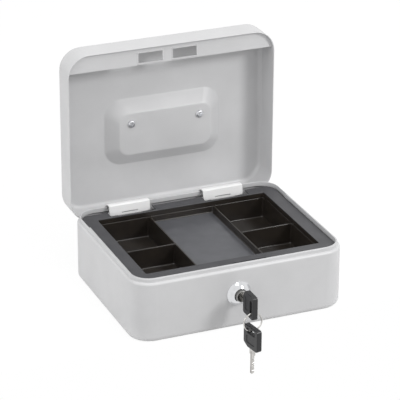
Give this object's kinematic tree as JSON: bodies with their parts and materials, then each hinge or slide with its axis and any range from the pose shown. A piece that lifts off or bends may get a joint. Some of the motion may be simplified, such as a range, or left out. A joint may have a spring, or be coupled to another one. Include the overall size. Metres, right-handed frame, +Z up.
{
  "type": "cash box",
  "caption": "Lockable steel cash box, lid open, with a lift-out coin tray, gooseneck hinges, a folding handle in a pressed dish, a hooked cam lock and its keys on a ring",
  "frame": {"origin": "centre of the base's underside, on the surface it stands on", "axes": "+X is the box's right, +Y its back (hinge side), +Z up. The lock faces -Y."},
  "size_m": [0.2, 0.2289, 0.238],
  "materials": {
    "grey_powder_coat": "satin",
    "white_powder_coat": "satin",
    "bright_steel": "bright zinc",
    "chrome_plate": "polished",
    "plug_metal": "turned",
    "brass_wafer": "stamped",
    "nickel_key": "nickel plated",
    "black_tray_plastic": "moulded",
    "black_key_plastic": "moulded"
  },
  "bodies": {
    "base": {"base_shell": "grey_powder_coat", "tray_rail": "grey_powder_coat", "hinge_bracket_left": "white_powder_coat", "hinge_bracket_right": "white_powder_coat", "hinge_pins": "bright_steel", "lock_housing": "chrome_plate", "lock_nut": "bright_steel"},
    "lid": {"lid_shell": "grey_powder_coat", "strike_plate": "grey_powder_coat", "hinge_leaf_left": "white_powder_coat", "hinge_leaf_right": "white_powder_coat", "handle_bracket_left": "chrome_plate", "handle_bracket_right": "chrome_plate", "handle_screws": "bright_steel"},
    "handle": {"carry_handle": "chrome_plate"},
    "tray": {"coin_tray": "black_tray_plastic"},
    "plug": {"lock_plug": "plug_metal", "lock_wafers": "brass_wafer", "lock_cam": "bright_steel", "cam_clip": "bright_steel"},
    "key": {"key_blade": "nickel_key", "key_head": "black_key_plastic"},
    "ring": {"key_ring": "nickel_key"},
    "spare_key": {"spare_key_blade": "nickel_key", "spare_key_head": "black_key_plastic"}
  },
  "joints": [
    {"name": "lid_hinge", "type": "hinge", "parent": "base", "child": "lid", "pos_m": [0, 0.0752, 0.0517], "axis": [1, 0, 0], "range_deg": [0, 90]},
    {"name": "handle_fold", "type": "hinge", "parent": "lid", "child": "handle", "pos_m": [0, 0.1025, 0.1279], "axis": [1, 0, 0], "range_deg": [0, 90]},
    {"name": "tray_lift", "type": "slide", "parent": "base", "child": "tray", "axis": [0, 0, -1], "range_m": [-0.06, 0]},
    {"name": "lock_turn", "type": "hinge", "parent": "base", "child": "plug", "pos_m": [-0.004, -0.074, 0.033], "axis": [0, 1, 0], "range_deg": [-90, 0]},
    {"name": "key_withdraw", "type": "slide", "parent": "plug", "child": "key", "axis": [0, -1, 0], "range_m": [0, 0.03]},
    {"name": "ring_swing", "type": "hinge", "parent": "key", "child": "ring", "pos_m": [-0.004, -0.11, 0.0274], "axis": [1, 0, 0], "range_deg": [-30, 15]},
    {"name": "spare_swing", "type": "hinge", "parent": "ring", "child": "spare_key", "pos_m": [-0.004, -0.11, 0.0107], "axis": [1, 0, 0], "range_deg": [-90, 15]}
  ]
}
